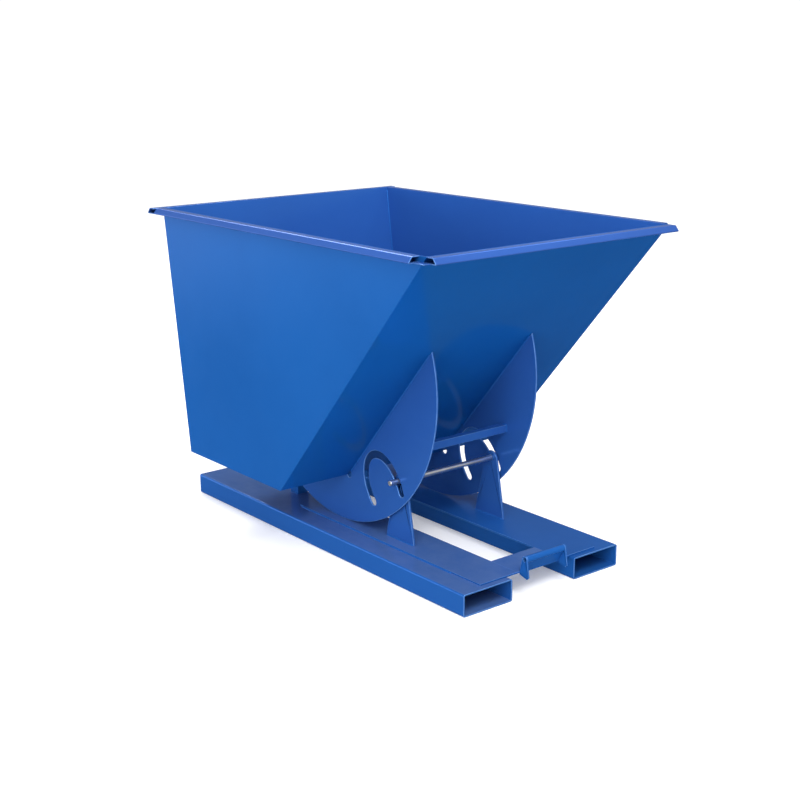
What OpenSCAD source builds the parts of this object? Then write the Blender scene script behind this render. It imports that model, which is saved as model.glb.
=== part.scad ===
// Self-dumping tipping bin for a forklift. The bin's two curved rockers roll
// forward along the base, guided by a fixed rod in a curved slot.
// Millimetres, +Z up, X is the width, -Y is the front, where it tips.

/* [Bin] */
// outside width of the bin, side wall to side wall
bin_w = 1072; // [800:4:1300]
// sheet thickness of the bin
sheet = 4; // [2:0.5:6]
// height of the bin's bottom above the floor
bin_bottom_z = 268; // [200:2:400]
// height of the rim above the floor
rim_z = 1197; // [900:1:1400]
// front end of the bottom, where the chute starts
chute_foot_y = -6; // [-200:1:200]
// front wall line at the rim
rim_front_y = -809.5; // [-1000:0.5:-500]
// rear wall line at the bottom
rear_foot_y = 608.5; // [400:0.5:800]
// rear wall line at the rim
rim_rear_y = 729.5; // [500:0.5:900]

/* [Rim] */
// how far the folded rim stands out
hem_w = 42; // [15:1:60]
// how far the folded rim reaches down
hem_h = 21; // [10:1:40]
// sheet thickness of the folded rim
hem_t = 3; // [1.5:0.5:5]
// slope of the rim's outside below its flat top, degrees
hem_slant = 50; // [30:10:80]
// outside bend radius where the flat top turns down
hem_bend = 6; // [4:0.5:10]
// how far the side rims stop short of the front wall
hem_setback = 33; // [10:1:60]
// corner plate, how far it stands out from the side wall
corner_w = 24; // [10:1:40]
// corner plate, how far it reaches ahead of the front wall line
corner_l = 17; // [5:1:30]

/* [Rockers] */
// distance from the rolling centre to the track
roll_r = 551; // [400:1:700]
// gap between rocker edge and track
roll_gap = 0.3; // [0.1:0.05:1]
// rolling centre, front to back
roll_y = 49.5; // [-100:0.5:200]
// rocker plate centre, left and right of the middle
rocker_x = 229.5; // [150:0.5:350]
// rocker plate thickness
rocker_t = 6; // [4:0.5:12]
// rear edge of the rocker plates
rocker_rear_y = 430; // [232:1:450]
// relief hole where the rocker meets the bend
relief_r = 13; // [5:1:30]
// full forward roll, degrees
roll_max = 67; // [30:1:80]

/* [Guide] */
// rod centre, front to back
rod_y = -288.5; // [-400:0.5:-200]
// rod centre height
rod_z = 311; // [200:1:400]
// rod radius
rod_r = 10; // [6:0.5:16]
// rod overall length
rod_l = 536; // [480:2:700]
// half width of the curved slot
slot_r = 14; // [11:0.5:20]
// slot overrun behind rest, degrees of roll
slot_back = 6; // [1:0.5:10]
// slot overrun past full roll, degrees of roll
slot_over = 5; // [1:0.5:12]
// ear plate thickness
ear_t = 8; // [5:1:14]
// ear plate inner face, left and right of the middle
ear_x = 210; // [150:1:300]
// foot of the ear plate, front edge
ear_front_y = -360.5; // [-450:0.5:-320]
// foot of the ear plate, rear edge
ear_rear_y = -205; // [-250:0.5:-150]
// radius of the ear plate's rounded top
ear_top_r = 33; // [22:1:36]

/* [Tie bar] */
// tie bar front face
tie_y = -353.5; // [-450:0.5:-250]
// tie bar top face
tie_z = 447; // [400:1:520]
// leg length of the tie bar angle
tie_leg = 28; // [15:1:50]
// tie bar thickness
tie_t = 4; // [3:0.5:8]

/* [Base] */
// overall width of the base
base_w = 723; // [500:1:1000]
// length of the fork pockets
base_l = 1640; // [1200:5:2000]
// middle of the fork pockets, front to back
base_y = 31.5; // [-100:0.5:200]
// fork pocket outside width
pocket_w = 216; // [150:1:260]
// fork pocket outside height
pocket_h = 80; // [50:1:120]
// fork pocket wall
pocket_t = 5; // [3:0.5:8]
// outside bend radius of the pocket corners
pocket_r = 8; // [6:0.5:16]
// track plate thickness
track_t = 6; // [4:0.5:12]
// inner edge of the track plates
track_in_x = 103; // [60:1:140]
// outer edge of the track plates
track_out_x = 270; // [240:1:350]
// front edge of the track plates
track_front_y = -765.5; // [-800:0.5:-700]
// rear edge of the track plates
track_rear_y = 260; // [235:1:700]
// front plate length, front to back
front_plate_l = 130; // [60:1:250]
// rear cross tube size, front to back
rear_tube = 60; // [40:1:100]
// rest post size
post_w = 50; // [30:1:80]
// rest post centre, left and right of the middle
post_x = 172; // [160:1:330]
// rest post centre, front to back
post_y = 405; // [300:1:600]

/* [Front bracket] */
// sleeve centre, front to back
sleeve_y = -788.5; // [-830:0.5:-740]
// sleeve centre height
sleeve_z = 134; // [100:1:180]
// sleeve outside radius
sleeve_r = 12; // [8:0.5:20]
// sleeve bore radius
sleeve_bore = 8; // [5:0.5:15]
// half length of the sleeve
sleeve_half = 88; // [50:1:140]
// lug thickness
lug_t = 5; // [3:0.5:10]
// lug half width
lug_r = 21; // [16:0.5:30]

/* [Hidden] */
$fn = 96;
half_w = bin_w / 2;
track_z = pocket_h + track_t;
roll_z = track_z + roll_r;
chute_slope = (chute_foot_y - rim_front_y) / (rim_z - bin_bottom_z);
rear_slope = (rim_rear_y - rear_foot_y) / (rim_z - bin_bottom_z);
chute_run = sheet * sqrt(1 + chute_slope * chute_slope);
rear_run = sheet * sqrt(1 + rear_slope * rear_slope);
pocket_x = base_w / 2 - pocket_w / 2;
disc_r = 6;
disc_fit = 0.08;
fit_gap = 0.05;

ear_top_drop = 7;
// where the rim's flat top ends, so that its rounded lower edge stands out by hem_w
hem_flat = hem_w - hem_t
    - (hem_bend - hem_t + (hem_h - hem_t - hem_bend) * cos(hem_slant)) / sin(hem_slant);

blue = [0.08, 0.29, 0.62];
steel = [0.55, 0.56, 0.58];

// bin outline, seen from the side
rear_foot = [rear_foot_y, bin_bottom_z];
chute_foot = [chute_foot_y, bin_bottom_z];
rim_front = [rim_front_y, rim_z];
rim_rear = [rim_rear_y, rim_z];
rear_foot_in = [rear_foot_y + sheet * rear_slope - rear_run, bin_bottom_z + sheet];
chute_foot_in = [chute_foot_y - sheet * chute_slope + chute_run, bin_bottom_z + sheet];
rim_front_in = [rim_front_y + chute_run, rim_z];
rim_rear_in = [rim_rear_y - rear_run, rim_z];

// where the fixed rod stands in the rocker's own frame after a roll of a degrees
function rolled(a) =
    let (dy = rod_y - roll_y + roll_r * a * PI / 180, dz = rod_z - roll_z)
    [roll_y + cos(a) * dy + sin(a) * dz, roll_z - sin(a) * dy + cos(a) * dz];
function heading(a) =
    let (d = rolled(a + 0.5) - rolled(a - 0.5)) atan2(d[1], d[0]);
function arc(c, r, from, to, n) =
    [for (i = [0:n]) let (t = from + (to - from) * i / n) c + r * [cos(t), sin(t)]];

// side view outline, given thickness w from x
module plate_yz(x, w) {
    translate([x, 0, 0]) rotate([90, 0, 90]) linear_extrude(w) children();
}

module round_rect(w, h, r) {
    square([w - 2 * r, h], center = true);
    square([w, h - 2 * r], center = true);
    for (sx = [-1, 1], sy = [-1, 1])
        translate([sx * (w / 2 - r), sy * (h / 2 - r)]) circle(r);
}

// folded rim section: a flat top, a slanted outside and a return under it.
// u stands out from the wall, lean is the wall's slope
module hem_section(lean) {
    low = hem_h - hem_t;
    shoulder = [hem_flat, -hem_bend];
    edge = [hem_w - hem_t, -low];
    face = 90 - hem_slant;
    polygon(concat(
        [[0, 0]],
        arc(shoulder, hem_bend, 90, face, 5),
        arc(edge, hem_t, face, -90, 13),
        [[-lean * hem_h, -hem_h], [-lean * low, -low], edge],
        arc(shoulder, hem_bend - hem_t, face, 90, 5),
        [[-lean * hem_t, -hem_t]]
    ));
}

module side_panel(x) {
    color(blue) difference() {
        plate_yz(x, sheet) polygon([rear_foot, chute_foot, rim_front, rim_rear]);
        translate([x - 1, roll_y, roll_z]) rotate([0, 90, 0])
            cylinder(r = disc_r + disc_fit, h = sheet + 2);
    }
}

module side_left() { side_panel(-half_w); }
module side_right() { side_panel(half_w - sheet); }

module wall_strip(points) {
    color(blue) plate_yz(-half_w + sheet, bin_w - 2 * sheet) polygon(points);
}

module chute_panel() { wall_strip([chute_foot, rim_front, rim_front_in, chute_foot_in]); }
module bottom_panel() { wall_strip([rear_foot, chute_foot, chute_foot_in, rear_foot_in]); }
module rear_panel() { wall_strip([rim_rear, rear_foot, rear_foot_in, rim_rear_in]); }

// the side rims run from a little behind the front wall to the slope of the rear wall
module side_rim(s) {
    front = rim_front_y + hem_setback;
    reach = 2 * hem_h;
    color(blue) difference() {
        translate([s * half_w, rim_rear_y, rim_z]) rotate([90, 0, 0])
            linear_extrude(rim_rear_y - front) mirror([s < 0 ? 1 : 0, 0]) hem_section(0);
        plate_yz(-bin_w, 2 * bin_w) polygon([
            [rim_rear_y + rear_slope * reach, rim_z + reach],
            [rim_rear_y - rear_slope * reach, rim_z - reach], [rim_rear_y + reach, rim_z - reach]
        ]);
    }
}

module rim_left() { side_rim(-1); }
module rim_right() { side_rim(1); }
module rim_rear_hem() {
    color(blue) translate([0, rim_rear_y, rim_z])
        plate_yz(-half_w - hem_w, bin_w + 2 * hem_w) hem_section(rear_slope);
}
module rim_front_hem() {
    color(blue) translate([0, rim_front_y, rim_z])
        plate_yz(-half_w, bin_w) mirror([1, 0]) hem_section(chute_slope);
}

// small flat plate that closes the open front corner of the rim from below
module rim_corner(s) {
    color(blue) translate([s * half_w, rim_front_y, rim_z - hem_h]) mirror([s < 0 ? 1 : 0, 0, 0])
        translate([0, -corner_l, 0]) cube([corner_w, corner_l + hem_setback, hem_t]);
}
module rim_corner_left() { rim_corner(-1); }
module rim_corner_right() { rim_corner(1); }

module guide_slot() {
    first = -slot_back;
    last = roll_max + slot_over;
    steps = 30;
    span = (last - first) / steps;
    function edge(i, turn) =
        let (a = first + i * span) arc(rolled(a), slot_r, heading(a) + turn, heading(a) + turn, 1)[0];
    polygon(concat(
        arc(rolled(first), slot_r, heading(first) + 270, heading(first) + 90, 14),
        [for (i = [1:steps - 1]) edge(i, 90)],
        arc(rolled(last), slot_r, heading(last) + 90, heading(last) - 90, 14),
        [for (i = [steps - 1:-1:1]) edge(i, -90)]
    ));
}

module rocker(x) {
    color(blue) plate_yz(x - rocker_t / 2, rocker_t) difference() {
        intersection() {
            translate([roll_y, roll_z]) circle(roll_r - roll_gap, $fn = 240);
            polygon([
                [rocker_rear_y, bin_bottom_z], chute_foot, rim_front,
                [rim_front_y, 0], [rocker_rear_y, 0]
            ]);
        }
        guide_slot();
        translate(chute_foot) circle(relief_r);
    }
}

module rocker_left() { rocker(-rocker_x); }
module rocker_right() { rocker(rocker_x); }

module tie_bar() {
    inner = rocker_x - rocker_t / 2;
    color(blue) plate_yz(-inner, 2 * inner) polygon([
        [tie_y, tie_z - tie_leg], [tie_y, tie_z], [tie_y + tie_leg, tie_z],
        [tie_y + tie_leg, tie_z - tie_t], [tie_y + tie_t, tie_z - tie_t],
        [tie_y + tie_t, tie_z - tie_leg]
    ]);
}

module roll_disc(x) {
    color(blue) translate([x, roll_y, roll_z]) rotate([0, 90, 0])
        cylinder(r = disc_r, h = sheet);
}
module roll_disc_left() { roll_disc(-half_w); }
module roll_disc_right() { roll_disc(half_w - sheet); }

module fork_pocket(x) {
    color(blue) translate([x, base_y + base_l / 2, pocket_h / 2]) rotate([90, 0, 0])
        linear_extrude(base_l) difference() {
            round_rect(pocket_w, pocket_h, pocket_r);
            round_rect(pocket_w - 2 * pocket_t, pocket_h - 2 * pocket_t, pocket_r - pocket_t);
        }
}
module fork_pocket_left() { fork_pocket(-pocket_x); }
module fork_pocket_right() { fork_pocket(pocket_x); }

module track_plate(x) {
    color(blue) translate([x, track_front_y, pocket_h])
        cube([track_out_x - track_in_x, track_rear_y - track_front_y, track_t]);
}
module track_plate_left() { track_plate(-track_out_x); }
module track_plate_right() { track_plate(track_in_x); }

module front_plate() {
    color(blue) translate([-track_in_x, track_front_y, pocket_h])
        cube([2 * track_in_x, front_plate_l, track_t]);
}

module front_lip() {
    lip = 5;
    top_z = sleeve_z - sleeve_r + 3;
    color(blue) difference() {
        plate_yz(-sleeve_half, 2 * sleeve_half) polygon([
            [track_front_y, pocket_h], [track_front_y, track_z],
            [sleeve_y + lip / 2, top_z], [sleeve_y - lip / 2, top_z],
            [track_front_y - lip, track_z], [track_front_y - lip, pocket_h]
        ]);
        translate([-sleeve_half - 1, sleeve_y, sleeve_z]) rotate([0, 90, 0])
            cylinder(r = sleeve_r, h = 2 * sleeve_half + 2);
    }
}

module front_sleeve() {
    color(blue) translate([-sleeve_half, sleeve_y, sleeve_z]) rotate([0, 90, 0])
        difference() {
            cylinder(r = sleeve_r, h = 2 * sleeve_half);
            translate([0, 0, -1]) cylinder(r = sleeve_bore, h = 2 * sleeve_half + 2);
        }
}

module front_lug(x) {
    color(blue) plate_yz(x, lug_t) difference() {
        polygon(concat(
            arc([sleeve_y, sleeve_z], sleeve_r, 0, 180, 24),
            [
                [sleeve_y - lug_r, pocket_h - 6], [sleeve_y - lug_r + 8, pocket_h - 14],
                [track_front_y, pocket_h - 4], [track_front_y, track_z]
            ]
        ));
        translate([sleeve_y, sleeve_z]) circle(sleeve_bore);
    }
}
module front_lug_left() { front_lug(-sleeve_half - lug_t); }
module front_lug_right() { front_lug(sleeve_half); }

module rear_cross_tube() {
    wall = 4;
    z = 5;
    h = pocket_h - 2 * z;
    half = pocket_x - pocket_w / 2;
    color(blue) plate_yz(-half, 2 * half)
        translate([base_y + base_l / 2 - 30 - rear_tube / 2, pocket_h / 2]) difference() {
            square([rear_tube, h], center = true);
            square([rear_tube - 2 * wall, h - 2 * wall], center = true);
        }
}

module rest_post(x) {
    wall = 4;
    color(blue) translate([x, post_y, pocket_h]) difference() {
        translate([-post_w / 2, -post_w / 2, 0])
            cube([post_w, post_w, bin_bottom_z - pocket_h - roll_gap]);
        translate([wall - post_w / 2, wall - post_w / 2, -1])
            cube([post_w - 2 * wall, post_w - 2 * wall, bin_bottom_z - pocket_h - wall]);
    }
}
module rest_post_left() { rest_post(-post_x); }
module rest_post_right() { rest_post(post_x); }

module ear(x) {
    color(blue) plate_yz(x, ear_t) difference() {
        polygon(concat(
            [[ear_front_y, track_z]],
            arc([rod_y, rod_z - ear_top_drop], ear_top_r, 171, 20, 30),
            [[ear_rear_y, track_z]]
        ));
        translate([rod_y, rod_z]) circle(rod_r + fit_gap);
    }
}
module ear_left() { ear(-ear_x - ear_t); }
module ear_right() { ear(ear_x); }

module guide_rod() {
    chamfer = 1.5;
    color(steel) translate([-rod_l / 2, rod_y, rod_z]) rotate([0, 90, 0]) {
        cylinder(r1 = rod_r - chamfer, r2 = rod_r, h = chamfer);
        translate([0, 0, chamfer]) cylinder(r = rod_r, h = rod_l - 2 * chamfer);
        translate([0, 0, rod_l - chamfer]) cylinder(r1 = rod_r, r2 = rod_r - chamfer, h = chamfer);
    }
}

side_left();
side_right();
chute_panel();
bottom_panel();
rear_panel();
rim_left();
rim_right();
rim_front_hem();
rim_rear_hem();
rim_corner_left();
rim_corner_right();
rocker_left();
rocker_right();
tie_bar();
roll_disc_left();
roll_disc_right();
fork_pocket_left();
fork_pocket_right();
track_plate_left();
track_plate_right();
front_plate();
front_lip();
front_sleeve();
front_lug_left();
front_lug_right();
rear_cross_tube();
rest_post_left();
rest_post_right();
ear_left();
ear_right();
guide_rod();
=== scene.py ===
import math
import random

import bmesh
import bpy
from mathutils import Matrix, Vector


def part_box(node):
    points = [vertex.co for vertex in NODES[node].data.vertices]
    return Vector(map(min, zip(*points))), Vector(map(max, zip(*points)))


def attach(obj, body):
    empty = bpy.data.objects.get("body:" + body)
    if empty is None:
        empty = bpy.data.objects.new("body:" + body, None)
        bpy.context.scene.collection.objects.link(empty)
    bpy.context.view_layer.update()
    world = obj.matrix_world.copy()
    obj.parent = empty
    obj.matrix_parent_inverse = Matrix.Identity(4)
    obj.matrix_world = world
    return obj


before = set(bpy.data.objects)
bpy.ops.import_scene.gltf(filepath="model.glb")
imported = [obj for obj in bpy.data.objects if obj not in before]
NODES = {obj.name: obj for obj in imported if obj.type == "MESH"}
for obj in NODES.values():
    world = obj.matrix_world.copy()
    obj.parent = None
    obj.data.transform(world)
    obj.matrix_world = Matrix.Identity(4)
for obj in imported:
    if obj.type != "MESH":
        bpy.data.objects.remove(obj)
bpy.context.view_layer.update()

SCENE = bpy.context.scene


# ---------------------------------------------------------------- materials
class Graph:
    """A material's node tree, with short calls for the few nodes used here."""

    def __init__(self, name):
        self.mat = bpy.data.materials.new(name)
        self.mat.use_nodes = True
        self.nodes = self.mat.node_tree.nodes
        self.links = self.mat.node_tree.links
        self.bsdf = self.nodes["Principled BSDF"]
        self.pos = self.nodes.new("ShaderNodeTexCoord").outputs["Object"]

    def link(self, a, b):
        self.links.new(a, b)

    def put(self, socket, value):
        """Link a node's output to a shader socket, or set a plain value on it."""
        if isinstance(value, (int, float, tuple)):
            self.bsdf.inputs[socket].default_value = value
        else:
            self.link(value, self.bsdf.inputs[socket])

    def noise(self, scale, detail=3.0, rough=0.5, stretch=None):
        n = self.nodes.new("ShaderNodeTexNoise")
        n.inputs["Scale"].default_value = scale
        n.inputs["Detail"].default_value = detail
        n.inputs["Roughness"].default_value = rough
        src = self.pos
        if stretch:
            m = self.nodes.new("ShaderNodeMapping")
            m.inputs["Scale"].default_value = stretch
            self.link(src, m.inputs["Vector"])
            src = m.outputs["Vector"]
        self.link(src, n.inputs["Vector"])
        return n.outputs["Fac"]

    def ramp(self, fac, a, b, lo=0.0, hi=1.0):
        """Value fac from lo..hi mapped to a..b, clamped."""
        m = self.nodes.new("ShaderNodeMapRange")
        m.inputs["From Min"].default_value = lo
        m.inputs["From Max"].default_value = hi
        m.inputs["To Min"].default_value = a
        m.inputs["To Max"].default_value = b
        self.link(fac, m.inputs["Value"])
        return m.outputs["Result"]

    def math(self, op, a, b):
        m = self.nodes.new("ShaderNodeMath")
        m.operation = op
        for i, v in enumerate((a, b)):
            if isinstance(v, (int, float)):
                m.inputs[i].default_value = v
            else:
                self.link(v, m.inputs[i])
        return m.outputs[0]

    def mix(self, fac, a, b):
        """Colour mix: fac is a node's output, a and b are colours or outputs."""
        m = self.nodes.new("ShaderNodeMix")
        m.data_type = "RGBA"
        for sock, v in ((m.inputs[0], fac), (m.inputs[6], a), (m.inputs[7], b)):
            if isinstance(v, tuple):
                sock.default_value = (*v, 1.0)
            else:
                self.link(v, sock)
        return m.outputs[2]

    def bump(self, height, strength, distance, below=None):
        b = self.nodes.new("ShaderNodeBump")
        b.inputs["Strength"].default_value = strength
        b.inputs["Distance"].default_value = distance
        self.link(height, b.inputs["Height"])
        if below is not None:
            self.link(below, b.inputs["Normal"])
        return b.outputs["Normal"]


ENAMEL_DARK = (0.0075, 0.082, 0.310)
ENAMEL_LIGHT = (0.0085, 0.090, 0.335)
ENAMEL_CLOUD = (0.014, 0.104, 0.360)
CLOUD_SHARE = 0.12            # how far the clouds show in the colour
ROUGH = (0.13, 0.19)          # roughness of the enamel, clearest to cloudiest
ROUGH_GRAIN = 0.015           # fine variation of the roughness
# colour of the painted sheen, pale light painted on faces that look up
PAINTED_SHEEN = (0.30, 0.36, 0.45)
PAINTED_SHEEN_ANGLE = (0.8, 0.98)      # upward part of the normal where the painted sheen starts, and where it is full
PAINTED_EDGE_HIGHLIGHT = (0.16, 0.32, 0.60)     # pale enamel for a painted highlight along a rounded edge
SHEET_WAVE = (0.20, 0.008)    # bump strength and distance of waves in rolled sheet
ORANGE_PEEL = (0.03, 0.0005)
SPECULAR_TINT = (0.25, 0.50, 0.90, 1.0)


def paint(name, red=0.0, deep=1.0, sheen=0.0, pale=0.0, waviness=1.0, metal=0.22, gloss=0.0):
    """Blue machine enamel over rolled sheet: faint waves in the sheet, orange peel, cloudy gloss.

    red is added to the red of each shade, and deep below 1 darkens the green and blue.
    sheen is how much a painted sheen, pale light painted into the colour, lightens faces that look
    up, and pale is how far the rounded edges are painted paler, a painted highlight. waviness is
    how much the sheet waves. gloss is taken off the roughness.
    """
    def shade(colour):
        return (colour[0] + red, colour[1] * deep, colour[2] * deep)

    g = Graph(name)
    tone = g.ramp(g.noise(1.6, 2.0), 0.0, 1.0, 0.35, 0.65)
    cloud = g.ramp(g.noise(14.0, 4.0, 0.6), 0.0, 1.0, 0.3, 0.7)
    base = g.mix(tone, shade(ENAMEL_DARK), shade(ENAMEL_LIGHT))
    base = g.mix(g.math("MULTIPLY", cloud, CLOUD_SHARE), base, shade(ENAMEL_CLOUD))
    # painted sheen: faces that look up are painted paler, light painted into the colour
    if sheen:
        split = g.nodes.new("ShaderNodeSeparateXYZ")
        g.link(g.nodes.new("ShaderNodeNewGeometry").outputs["True Normal"], split.inputs[0])
        level = g.ramp(split.outputs["Z"], 0.0, sheen, *PAINTED_SHEEN_ANGLE)
        base = g.mix(g.math("MULTIPLY", level, g.ramp(cloud, 0.8, 1.2)), base, PAINTED_SHEEN)
    # painted highlight: the rounded edges are painted paler
    if pale:
        base = g.mix(g.ramp(g.noise(30.0, 3.0), 0.6 * pale, pale, 0.4, 0.6), base, PAINTED_EDGE_HIGHLIGHT)
    gloss_clouds = g.ramp(cloud, ROUGH[0] - gloss, ROUGH[1] - gloss)
    gloss_grain = g.ramp(g.noise(220.0, 2.0), -ROUGH_GRAIN, ROUGH_GRAIN)
    sheet = g.bump(g.noise(2.2, 1.0), SHEET_WAVE[0] * waviness, SHEET_WAVE[1])
    g.put("Base Color", base)
    g.put("Roughness", g.math("ADD", gloss_clouds, gloss_grain))
    g.put("Normal", g.bump(g.noise(420.0, 2.0), *ORANGE_PEEL, sheet))
    g.put("Metallic", metal)
    g.put("IOR", 1.5)
    g.put("Specular IOR Level", 0.15)
    g.put("Specular Tint", SPECULAR_TINT)
    return g.mat


def steel(name):
    """Bright drawn bar: fine turned lines round the rod, light handling marks."""
    g = Graph(name)
    streak = g.noise(60.0, 3.0, 0.6, (30.0, 1.0, 1.0))
    blotch = g.ramp(g.noise(30.0, 3.0), 0.0, 1.0, 0.35, 0.65)
    g.put("Base Color", g.mix(blotch, (0.64, 0.65, 0.67), (0.78, 0.79, 0.81)))
    g.put("Roughness", g.ramp(streak, 0.28, 0.42))
    g.put("Normal", g.bump(streak, 0.15, 0.0004))
    g.put("Metallic", 1.0)
    return g.mat


PAINT = paint("blue_enamel")
# painted shade: a cooler copy of the enamel for the down-facing chute; it is also glossier and more
# metallic
CHUTE_PAINT = paint("blue_enamel_chute", red=-0.003, waviness=0.5, metal=0.34, gloss=0.08)
# painted shade: a purpler copy of the enamel for the interior walls, rockers, ears and tie bar,
# which sit in shade
SHADE_TINT_PAINT = paint("blue_enamel_shade_tint", red=0.012)
# painted shade: a darker, purpler copy of the enamel for the brightly lit rims
RIM_PAINT = paint("blue_enamel_rim", red=0.016, deep=0.84)
# the base pieces take a faint painted sheen on faces that look up
BASE_PAINT = paint("blue_enamel_base", red=0.003, sheen=0.01)
# painted sheen: the left pocket, left track plate and front plate are painted paler on top, as
# light falling from the left
SHEEN_PAINT = paint("blue_enamel_sheen", red=0.006, sheen=0.16)
WELD = paint("blue_enamel_weld", red=0.006, waviness=0.2)
# paint for the rounded edges, paled into a painted highlight
EDGE = paint("blue_enamel_edge_highlight", red=0.006, waviness=0.2, pale=0.55)
STEEL = steel("bright_bar")

COATS = {
    STEEL: ("guide_rod",),
    CHUTE_PAINT: ("chute_panel",),
    SHADE_TINT_PAINT: (
        "side_right", "rear_panel", "bottom_panel", "rocker_left", "rocker_right", "tie_bar",
        "ear_left", "ear_right", "roll_disc_right",
    ),
    RIM_PAINT: (
        "rim_left", "rim_right", "rim_front_hem", "rim_rear_hem", "rim_corner_left",
        "rim_corner_right",
    ),
    SHEEN_PAINT: ("fork_pocket_left", "track_plate_left", "front_plate"),
    BASE_PAINT: (
        "fork_pocket_right", "track_plate_right", "front_lip", "front_sleeve", "front_lug_left",
        "front_lug_right", "rear_cross_tube", "rest_post_left", "rest_post_right",
    ),
}
COAT = {node: mat for mat, nodes in COATS.items() for node in nodes}

# how far an edge is rounded, by the first word of the node's name; 0 leaves it sharp
BEVEL = 0.0008
BEVELS = {
    "side": 0, "roll": 0, "rim": 0.0010, "fork": 0.0016, "ear": 0.0016, "rocker": 0.0018,
    "guide": 0.0004,
}
BEVEL_ANGLE = math.radians(35)
JOIN = 0.00002                # corners nearer than this are one corner
# nodes whose rounded edges carry the painted highlight
PAINTED_HIGHLIGHT_EDGES = ("rocker_", "fork_", "track_", "front_", "tie_", "rim_", "ear_")


def dress(node, mat, bevel):
    """Paint a node, and round its edges. The rounding of some nodes is painted paler, a painted
    highlight.
    """
    o = NODES[node]
    o.data.materials.clear()
    o.data.materials.append(mat)
    for p in o.data.polygons:
        p.use_smooth = True
    if not bevel:
        return
    o.modifiers.new("weld", "WELD").merge_threshold = JOIN
    b = o.modifiers.new("edge", "BEVEL")
    b.use_clamp_overlap = False
    b.width = bevel
    b.segments = 2
    b.limit_method = "ANGLE"
    b.angle_limit = BEVEL_ANGLE
    # the rounded edges of these nodes take the paled paint, a painted highlight
    if node.startswith(PAINTED_HIGHLIGHT_EDGES):
        o.data.materials.append(EDGE)
        b.material = 1
    w = o.modifiers.new("flats", "WEIGHTED_NORMAL")
    w.weight = 80
    w.keep_sharp = True


for n in NODES:
    dress(n, COAT.get(n, PAINT), BEVELS.get(n.split("_")[0], BEVEL))


# ---------------------------------------------------------------- weld beads
RANDOM = random.Random(7)
LEG = 0.0045            # how far a bead reaches along each plate
TRACK_LEG = 0.0058
TIE_LEG = 0.0035
RIPPLE = 0.0072         # length of one ripple
RINGS = 3               # rings a ripple
ROUND = 4               # steps over the bead
SINK = 0.0003           # how far a bead's feet stand in the plates
UNEVEN = 0.05           # how much its size varies
SWELL = 0.10            # how much it swells over one ripple
HOLLOW = 0.22           # how far its face is hollow
END_SIZE = 0.5          # size of its two ends
CLEAR = 0.012           # how far a bead stops short of an edge
ROCKER_START = 0.016    # where a rocker's bottom bead starts, behind the chute's foot
WALL = 0.004            # the bin's sheet


def bead(name, body, start, end, along_a, along_b, leg=LEG):
    """A rippled fillet weld from start to end, between plates that run along_a and along_b."""
    start, end = Vector(start), Vector(end)
    u, v = Vector(along_a).normalized(), Vector(along_b).normalized()
    corner = -(u + v).normalized() * SINK
    count = max(4, int((end - start).length / RIPPLE) * RINGS)
    rows = []
    bm = bmesh.new()
    for i in range(count + 1):
        size = leg * (1 + UNEVEN * RANDOM.uniform(-1, 1))
        if i in (0, count):
            size *= END_SIZE
        here = start.lerp(end, i / count) + corner
        swell = 1 + SWELL * ((i % RINGS) / RINGS - 0.5)
        row = [bm.verts.new(here)]
        for k in range(ROUND + 1):
            a = math.pi / 2 * k / ROUND
            bulge = size * swell * (1 - HOLLOW * math.sin(2 * a))
            row.append(bm.verts.new(here + bulge * (math.cos(a) * u + math.sin(a) * v)))
        rows.append(row)
    n = ROUND + 2
    for p, q in zip(rows, rows[1:]):
        for k in range(n):
            bm.faces.new((p[k], p[(k + 1) % n], q[(k + 1) % n], q[k]))
    bm.faces.new(rows[0][::-1])
    bm.faces.new(rows[-1])
    bmesh.ops.recalc_face_normals(bm, faces=bm.faces)
    me = bpy.data.meshes.new(name)
    bm.to_mesh(me)
    bm.free()
    for f in me.polygons:
        f.use_smooth = True
    me.materials.append(WELD)
    o = bpy.data.objects.new(name, me)
    SCENE.collection.objects.link(o)
    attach(o, body)


def low(node):
    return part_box(node)[0]


def high(node):
    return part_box(node)[1]


TRACK = high("track_plate_left")[2]
POCKET = high("fork_pocket_left")[2]
BOTTOM = low("bottom_panel")[2]
RIM = high("side_left")[2]
UP = (0, 0, 1)
DOWN = (0, 0, -1)
FRONT = (0, -1, 0)


class Slope:
    """A sloped wall of the bin seen from the side: its outside line from foot to rim."""

    def __init__(self, foot_y, rim_y, outward):
        self.foot_y = foot_y
        self.lean = (rim_y - foot_y) / (RIM - BOTTOM)
        size = math.hypot(1, self.lean)
        self.out = (0, outward / size, -outward * self.lean / size)
        self.into = tuple(-c for c in self.out)
        self.run = -outward * WALL * size

    def at(self, x, z, inside=False):
        return (x, self.foot_y + self.lean * (z - BOTTOM) + (self.run if inside else 0), z)


CHUTE = Slope(low("bottom_panel")[1], low("side_left")[1], -1)
REAR = Slope(high("bottom_panel")[1], high("side_left")[1], 1)

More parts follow.
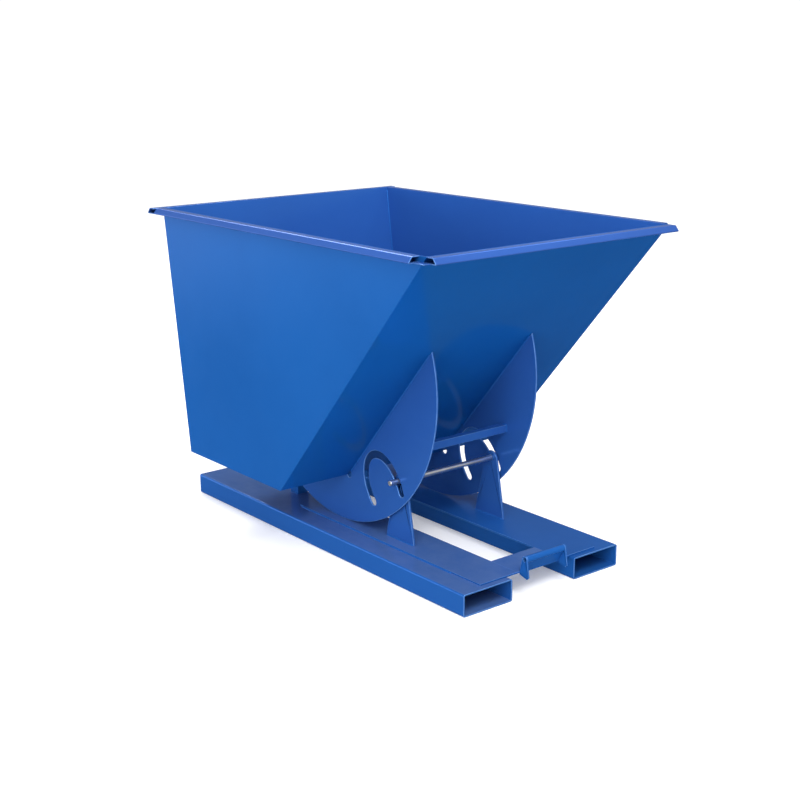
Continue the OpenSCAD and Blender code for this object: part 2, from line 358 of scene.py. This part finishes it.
for side, s in (("left", -1), ("right", 1)):
    outward, inward = (s, 0, 0), (-s, 0, 0)
    ear_lo, ear_hi = low("ear_" + side), high("ear_" + side)
    rock_lo, rock_hi = low("rocker_" + side), high("rocker_" + side)
    for face, ear_x, rock_x, out in (
        ("low_x", ear_lo[0], rock_lo[0], (-1, 0, 0)),
        ("high_x", ear_hi[0], rock_hi[0], (1, 0, 0)),
    ):
        tag = f"{side}_{face}"
        bead("weld_ear_" + tag, "base", (ear_x, ear_lo[1] + LEG, TRACK),
             (ear_x, ear_hi[1] - LEG, TRACK), out, UP)
        bead("weld_rocker_chute_" + tag, "bin", CHUTE.at(rock_x, BOTTOM + CLEAR),
             CHUTE.at(rock_x, rock_hi[2] - CLEAR), out, CHUTE.out)
        bead("weld_rocker_bottom_" + tag, "bin", (rock_x, CHUTE.foot_y + ROCKER_START, BOTTOM),
             (rock_x, rock_hi[1] - CLEAR, BOTTOM), out, DOWN)

    plate_lo, plate_hi = low("track_plate_" + side), high("track_plate_" + side)
    edge = plate_lo[0] if s < 0 else plate_hi[0]
    bead("weld_track_" + side, "base", (edge, plate_hi[1] - CLEAR, POCKET),
         (edge, high("front_plate")[1] + CLEAR, POCKET), outward, UP, TRACK_LEG)

    post_lo, post_hi = low("rest_post_" + side), high("rest_post_" + side)
    outer = post_lo[0] if s < 0 else post_hi[0]
    bead("weld_post_" + side, "base", (outer, post_lo[1], POCKET), (outer, post_hi[1], POCKET),
         outward, UP)

    tie_lo, tie_hi = low("tie_bar"), high("tie_bar")
    end = tie_lo[0] if s < 0 else tie_hi[0]
    top_front = (end, tie_lo[1], tie_hi[2])
    bead("weld_tie_top_" + side, "bin", top_front, (end, tie_hi[1], tie_hi[2]),
         inward, UP, TIE_LEG)
    bead("weld_tie_front_" + side, "bin", (end, tie_lo[1], tie_lo[2]), top_front,
         inward, FRONT, TIE_LEG)

    wall = s * (high("side_right")[0] - WALL)
    for name, slope in (("chute", CHUTE), ("rear", REAR)):
        bead(f"weld_inside_{name}_{side}", "bin", slope.at(wall, BOTTOM + CLEAR, True),
             slope.at(wall, RIM - CLEAR, True), inward, slope.into)
    bead("weld_inside_bottom_" + side, "bin", (wall, CHUTE.foot_y + CLEAR, BOTTOM + WALL),
         (wall, REAR.foot_y - CLEAR, BOTTOM + WALL), inward, UP)


# ---------------------------------------------------------------- floor, light, camera
def floor(half):
    """A plain pale floor, twice half across, a little bright in itself to keep shadows soft."""
    me = bpy.data.meshes.new("studio_floor")
    corners = [(-half, -half, 0), (half, -half, 0), (half, half, 0), (-half, half, 0)]
    me.from_pydata(corners, [], [(0, 1, 2, 3)])
    o = bpy.data.objects.new("studio_floor", me)
    SCENE.collection.objects.link(o)
    g = Graph("studio_floor")
    g.put("Base Color", (0.80, 0.80, 0.80, 1))
    g.put("Roughness", 0.9)
    g.put("Emission Color", (1, 1, 1, 1))
    g.put("Emission Strength", 0.26)
    me.materials.append(g.mat)
    o.visible_glossy = False


def place(name, light, back):
    """Link a lamp that shines away from back."""
    o = bpy.data.objects.new(name, light)
    o.rotation_mode = "QUATERNION"
    o.rotation_quaternion = Vector(back).to_track_quat("Z", "Y")
    SCENE.collection.objects.link(o)
    return o


def area(name, loc, target, size, power):
    light = bpy.data.lights.new(name, "AREA")
    light.shape = "RECTANGLE"
    light.size, light.size_y = size
    light.energy = power
    place(name, light, Vector(loc) - Vector(target)).location = loc


def sun(name, direction, power, softness):
    light = bpy.data.lights.new(name, "SUN")
    light.energy = power
    light.angle = math.radians(softness)
    place(name, light, direction)


def sky(below, above, edge, glow, glow_toward, dim, dim_toward):
    """Soft surround, darker below the horizon than above, with a low glow on one side and a
    dimmer part on another. The camera sees plain white."""
    world = bpy.data.worlds.new("studio")
    SCENE.world = world
    world.use_nodes = True
    nodes, links = world.node_tree.nodes, world.node_tree.links

    def step(value, lo, hi, a, b):
        m = nodes.new("ShaderNodeMapRange")
        m.interpolation_type = "SMOOTHSTEP"
        for socket, v in (("From Min", lo), ("From Max", hi), ("To Min", a), ("To Max", b)):
            m.inputs[socket].default_value = v
        links.new(value, m.inputs["Value"])
        return m.outputs["Result"]

    def combine(op, a, b):
        m = nodes.new("ShaderNodeMath")
        m.operation = op
        links.new(a, m.inputs[0])
        links.new(b, m.inputs[1])
        return m.outputs[0]

    def facing(direction):
        m = nodes.new("ShaderNodeVectorMath")
        m.operation = "DOT_PRODUCT"
        m.inputs[1].default_value = Vector(direction).normalized()
        links.new(way, m.inputs[0])
        return m.outputs["Value"]

    way = nodes.new("ShaderNodeTexCoord").outputs["Generated"]
    split = nodes.new("ShaderNodeSeparateXYZ")
    links.new(way, split.inputs[0])
    up = split.outputs["Z"]
    tone = step(up, -edge, 0.0, below, above)
    tone = combine("MULTIPLY", tone, step(facing(dim_toward), 0.80, 0.95, 1.0, dim))
    faint = step(up, -0.23, -0.12, 0.0, 0.3 * glow)
    strong = step(up, -0.05, 0.02, 0.0, 0.7 * glow)
    band = combine("MULTIPLY", combine("ADD", faint, strong), step(up, 0.22, 0.34, 1.0, 0.0))
    window = step(facing(glow_toward), 0.84, 0.96, 0.0, 1.0)
    tone = combine("ADD", tone, combine("MULTIPLY", band, window))
    level = nodes.new("ShaderNodeMix")
    level.inputs["B"].default_value = 1.05
    links.new(nodes.new("ShaderNodeLightPath").outputs["Is Camera Ray"], level.inputs["Factor"])
    links.new(tone, level.inputs["A"])
    back = nodes["Background"]
    back.inputs["Color"].default_value = (1, 1, 1, 1)
    links.new(level.outputs["Result"], back.inputs["Strength"])


floor(half=40.0)
sky(below=0.15, above=0.58, edge=0.22, glow=4.0, glow_toward=(-0.57, 0.82, 0.0),
    dim=0.45, dim_toward=(0.61, 0.74, 0.27))
sun("key", direction=(-0.45, -0.55, 0.70), power=1.8, softness=45)
sun("fill", direction=(-0.92, -0.36, 0.14), power=1.4, softness=30)
area("back_softbox", loc=(1.9, 6.0, 5.9), target=(0, 0, 1.1), size=(4.4, 2.4), power=460)
area("rim_softbox", loc=(3.0, -0.6, 4.6), target=(0, -0.8, 0.8), size=(1.4, 1.0), power=36)
area("top_softbox", loc=(0.1, -0.2, 3.2), target=(0, 0.1, 0.9), size=(1.4, 1.4), power=41)
area("front_softbox", loc=(-0.6, -2.2, 2.6), target=(-0.1, -0.8, 0.1), size=(1.0, 1.0), power=46)

view = SCENE.view_settings
view.view_transform = "Standard"
view.look = "None"
view.exposure = 0.0


def camera(place_at, azimuth, elevation, roll, lens, shift):
    """A camera that looks from azimuth and elevation, in degrees, turned by roll about its axis."""
    cam = bpy.data.objects.new("camera", bpy.data.cameras.new("camera"))
    SCENE.collection.objects.link(cam)
    cam.data.sensor_width = 36.0
    cam.data.lens = lens
    cam.data.shift_x, cam.data.shift_y = shift
    cam.data.clip_end = 100.0
    az, el, turn = (math.radians(a) for a in (azimuth, elevation, roll))
    back = Vector((math.sin(az) * math.cos(el), -math.cos(az) * math.cos(el), math.sin(el)))
    right = Vector((math.cos(az), math.sin(az), 0.0))
    up = back.cross(right)
    rows = (
        math.cos(turn) * right + math.sin(turn) * up,
        -math.sin(turn) * right + math.cos(turn) * up,
        back,
    )
    cam.matrix_world = Matrix.Translation(place_at) @ Matrix(rows).transposed().to_4x4()
    SCENE.camera = cam


camera(place_at=(-3.08666, -3.85225, 1.83084), azimuth=-38.877, elevation=15.815, roll=-0.283,
       lens=61.71, shift=(-0.0017, 0.0241))
